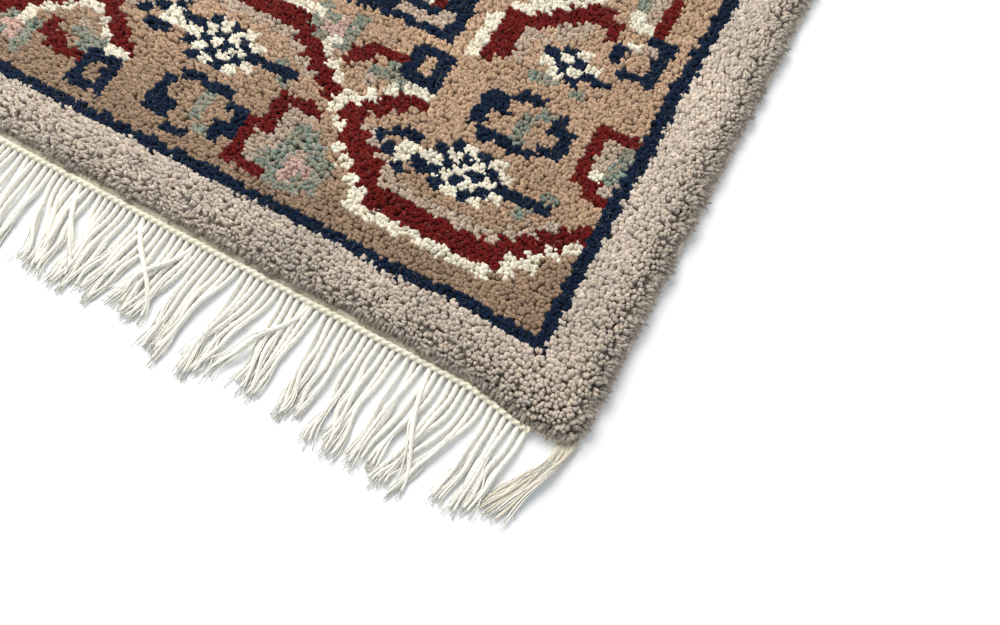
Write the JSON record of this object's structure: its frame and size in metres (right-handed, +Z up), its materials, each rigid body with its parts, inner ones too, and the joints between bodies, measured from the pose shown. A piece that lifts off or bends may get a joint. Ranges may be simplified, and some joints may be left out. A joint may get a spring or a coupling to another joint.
{
  "type": "oriental rug",
  "caption": "Flat hand-knotted oriental rug with a thick wool pile, overcast selvedges along its sides and a looped cotton fringe at each end, to lie on a floor.",
  "frame": {"origin": "middle of the underside, on the floor", "axes": "+X across the rug, +Y along its length from the front fringe to the back fringe, +Z up out of the pile"},
  "size_m": [0.6, 1.0432, 0.013],
  "materials": {
    "wool_pile": "matte cut wool pile in knotted colours",
    "wool_selvedge": "matte overcast wool yarn",
    "cotton_fringe": "matte plied cotton cord"
  },
  "bodies": {
    "root": {"rug_body": "wool_pile", "selvedge_left": "wool_selvedge", "selvedge_right": "wool_selvedge", "fringe_front": "cotton_fringe", "fringe_back": "cotton_fringe"}
  },
  "joints": []
}
